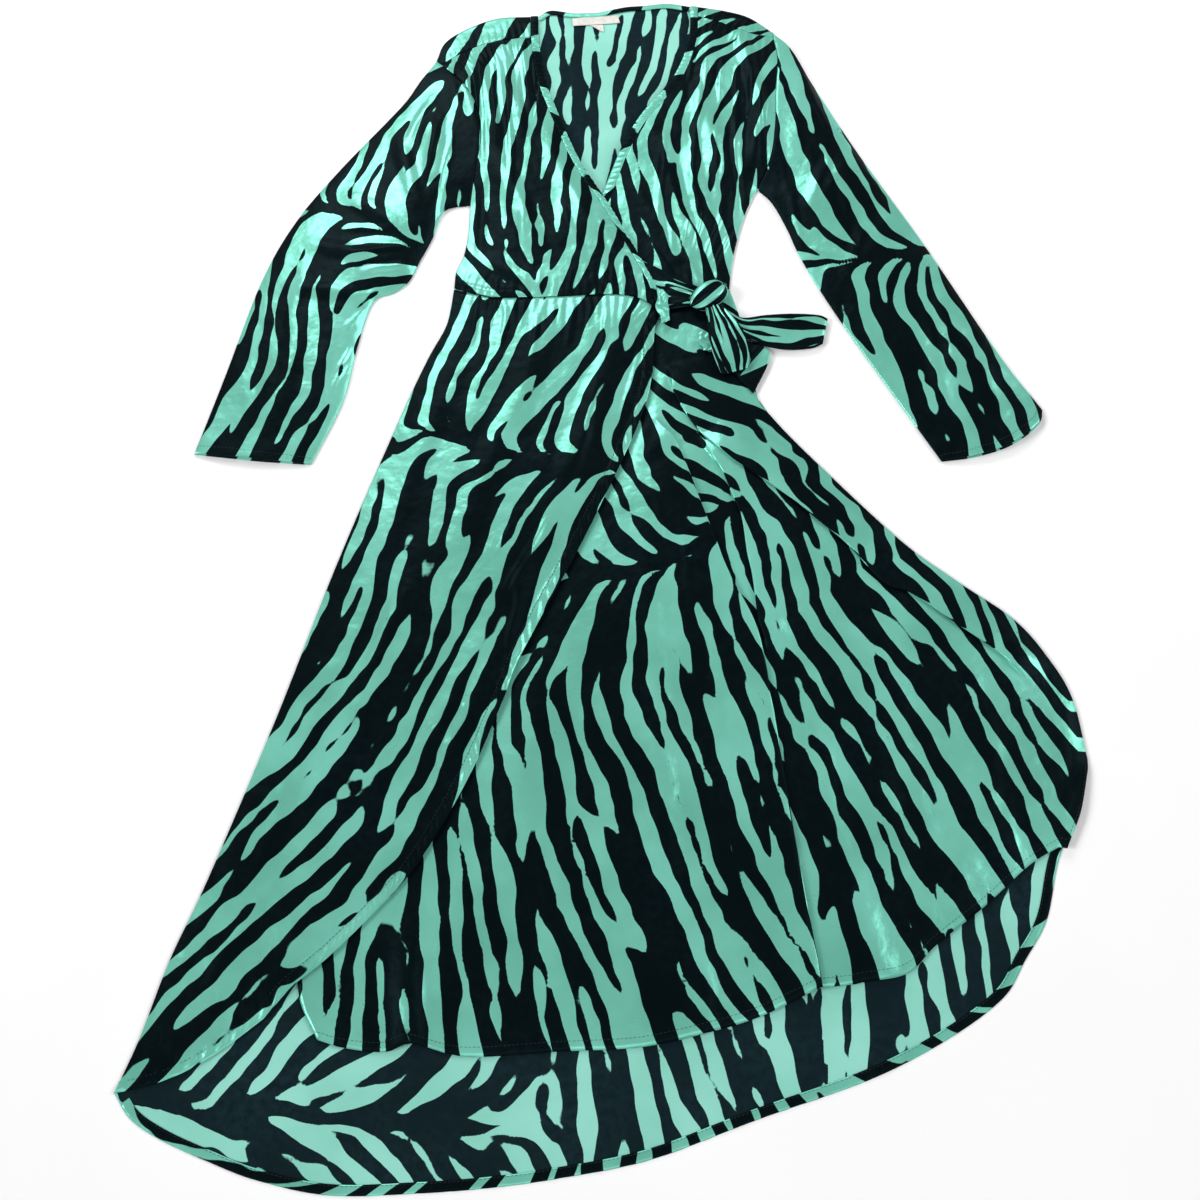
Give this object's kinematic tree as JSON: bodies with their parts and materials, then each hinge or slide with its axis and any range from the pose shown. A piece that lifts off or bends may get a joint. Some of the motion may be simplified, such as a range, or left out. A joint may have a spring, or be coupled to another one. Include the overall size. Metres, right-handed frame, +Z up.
{
  "type": "wrap dress",
  "caption": "Long-sleeved satin wrap dress laid flat, with a V neck, a self tie in a bow at the waist and a dipped hem.",
  "frame": {"origin": "middle of the dress's box, at its underside, where it lies on the surface", "axes": "+Y from the hem to the neck, +X towards the wearer's left sleeve, +Z up from the surface, out of the front"},
  "size_m": [1.0137, 1.4476, 0.0229],
  "materials": {
    "satin_face": "glossy printed satin",
    "satin_reverse": "matt wrong side of printed satin",
    "label_cloth": "bare woven label"
  },
  "bodies": {
    "root": {"bodice_back": "satin_reverse", "bodice_front_left": "satin_face", "bodice_front_right": "satin_face", "hem_back": "satin_face", "label": "label_cloth", "label_tab": "label_cloth", "neck_band_back": "satin_face", "neck_band_left": "satin_face", "neck_band_right": "satin_face", "skirt_back": "satin_reverse", "skirt_front_left": "satin_face", "skirt_front_right": "satin_face", "sleeve_left": "satin_face", "sleeve_right": "satin_face", "tie_knot": "satin_face", "tie_loop_low": "satin_face", "tie_loop_side": "satin_face", "tie_strap": "satin_face", "tie_tail": "satin_face", "yoke_left": "satin_face", "yoke_right": "satin_face"}
  },
  "joints": []
}
